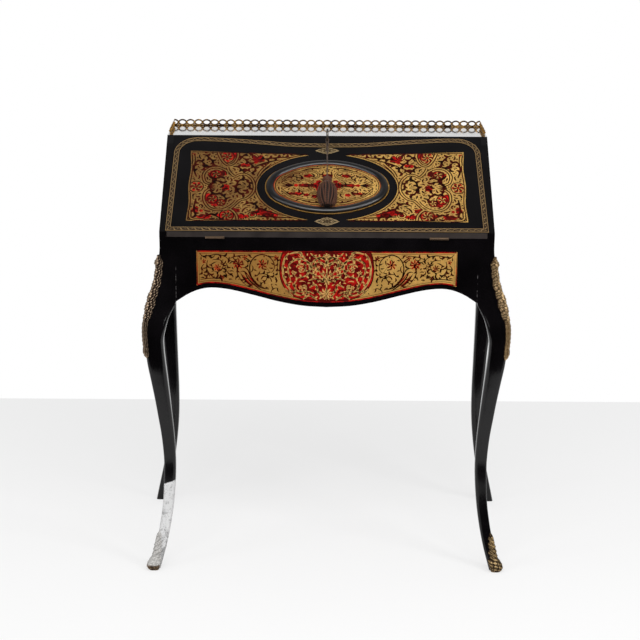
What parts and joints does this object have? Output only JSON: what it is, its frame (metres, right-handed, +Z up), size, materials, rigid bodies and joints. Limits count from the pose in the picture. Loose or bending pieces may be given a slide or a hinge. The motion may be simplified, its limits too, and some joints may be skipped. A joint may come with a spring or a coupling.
{
  "type": "slant-front writing desk",
  "caption": "Slant-front writing desk on cabriole legs with a hinged inlaid fall, gilt mounts, pierced gallery, fitted interior and a well.",
  "frame": {"origin": "middle of the footprint on the floor", "axes": "+X to the right, +Y to the back, +Z up"},
  "size_m": [0.802, 0.4978, 0.9299],
  "materials": {
    "lacquer": "black lacquer polished to a mirror gloss",
    "gilt_bronze": "chased bronze with worn gilding",
    "brass": "polished and lightly tarnished brass",
    "marquetry": "sheet brass cut with red and black scrollwork",
    "rosewood": "polished rosewood veneer",
    "leather": "tooled writing leather",
    "steel": "bright steel, slightly worn",
    "silk": "twisted silk cord"
  },
  "bodies": {
    "frame": {"left_front_leg": "lacquer", "right_front_leg": "lacquer", "left_back_leg": "lacquer", "right_back_leg": "lacquer", "front_apron": "lacquer", "back_apron": "lacquer", "left_apron": "lacquer", "right_apron": "lacquer", "left_knee_mount": "gilt_bronze", "right_knee_mount": "gilt_bronze", "left_sabot": "gilt_bronze", "right_sabot": "gilt_bronze", "apron_marquetry": "marquetry", "well_box": "rosewood", "left_side_panel": "lacquer", "right_side_panel": "lacquer", "back_panel": "lacquer", "top_board": "lacquer", "writing_board": "rosewood", "back_gallery": "brass", "left_gallery": "brass", "right_gallery": "brass", "fitting_bottom": "rosewood", "fitting_shelf": "rosewood", "drawer_dividers": "rosewood", "pigeonhole_dividers": "rosewood", "strike_plate": "brass", "hinge_case_leaves": "brass", "hinge_pins": "brass", "stay_wall_plates": "brass"},
    "fall": {"fall_board": "lacquer", "fall_border": "brass", "left_marquetry": "marquetry", "right_marquetry": "marquetry", "oval_marquetry": "marquetry", "oval_moulding": "lacquer", "oval_bead": "brass", "escutcheon": "brass", "lower_ornament": "brass", "writing_leather": "leather", "lock_case": "brass", "hinge_fall_leaves": "brass", "stay_fall_lugs": "brass"},
    "lock_bolt": {"lock_bolt": "steel"},
    "key": {"key": "steel"},
    "tassel": {"tassel_cord": "silk", "tassel_head": "silk", "tassel_skirt": "silk"},
    "left_wall_stay": {"left_wall_stay": "brass"},
    "right_wall_stay": {"right_wall_stay": "brass"},
    "left_fall_stay": {"left_fall_stay": "brass"},
    "right_fall_stay": {"right_fall_stay": "brass"},
    "well_cover": {"well_cover": "rosewood", "well_pull": "brass"},
    "left_drawer": {"left_drawer": "rosewood", "left_drawer_knob": "brass"},
    "middle_drawer": {"middle_drawer": "rosewood", "middle_drawer_knob": "brass"},
    "right_drawer": {"right_drawer": "rosewood", "right_drawer_knob": "brass"}
  },
  "joints": [
    {"name": "fall_hinge", "type": "hinge", "parent": "frame", "child": "fall", "pos_m": [0, -0.21405, 0.72875], "axis": [1, 0, 0], "range_deg": [0, 147.5]},
    {"name": "key_turn", "type": "hinge", "parent": "fall", "child": "key", "pos_m": [0, 0.00371, 0.87716], "axis": [0, -0.5368, 0.8437], "range_deg": [0, 180], "deforming": ["tassel_cord"]},
    {"name": "bolt_slide", "type": "slide", "parent": "fall", "child": "lock_bolt", "axis": [0, 0.8437, 0.5368], "range_m": [0, 0.008]},
    {"name": "tassel_swing", "type": "hinge", "parent": "fall", "child": "tassel", "pos_m": [0, -0.02098, 0.91597], "axis": [1, 0, 0], "range_deg": [-96.6, 0]},
    {"name": "left_wall_stay_pivot", "type": "hinge", "parent": "frame", "child": "left_wall_stay", "pos_m": [-0.3325, -0.11407, 0.74375], "axis": [1, 0, 0], "range_deg": [0, 170.3]},
    {"name": "left_fall_stay_pivot", "type": "hinge", "parent": "fall", "child": "left_fall_stay", "pos_m": [-0.3292, -0.11337, 0.77542], "axis": [1, 0, 0], "range_deg": [-135.1, 0]},
    {"name": "right_wall_stay_pivot", "type": "hinge", "parent": "frame", "child": "right_wall_stay", "pos_m": [0.3325, -0.11407, 0.74375], "axis": [1, 0, 0], "range_deg": [0, 170.3]},
    {"name": "right_fall_stay_pivot", "type": "hinge", "parent": "fall", "child": "right_fall_stay", "pos_m": [0.3292, -0.11337, 0.77542], "axis": [1, 0, 0], "range_deg": [-135.1, 0]},
    {"name": "well_cover_slide", "type": "slide", "parent": "frame", "child": "well_cover", "axis": [0, 1, 0], "range_m": [0, 0.145]},
    {"name": "left_drawer_slide", "type": "slide", "parent": "frame", "child": "left_drawer", "axis": [0, -1, 0], "range_m": [0, 0.095]},
    {"name": "middle_drawer_slide", "type": "slide", "parent": "frame", "child": "middle_drawer", "axis": [0, -1, 0], "range_m": [0, 0.095]},
    {"name": "right_drawer_slide", "type": "slide", "parent": "frame", "child": "right_drawer", "axis": [0, -1, 0], "range_m": [0, 0.095]}
  ],
  "couplings": [
    {"joint": "key_turn", "follows": "bolt_slide", "rad_per_m": 392.7},
    {"joint": "tassel_swing", "follows": "fall_hinge", "ratio": -0.65391},
    {"joint": "left_wall_stay_pivot", "follows": "fall_hinge", "ratio": 1.1536},
    {"joint": "left_fall_stay_pivot", "follows": "fall_hinge", "ratio": -0.91514},
    {"joint": "right_wall_stay_pivot", "follows": "fall_hinge", "ratio": 1.1536},
    {"joint": "right_fall_stay_pivot", "follows": "fall_hinge", "ratio": -0.91514}
  ]
}
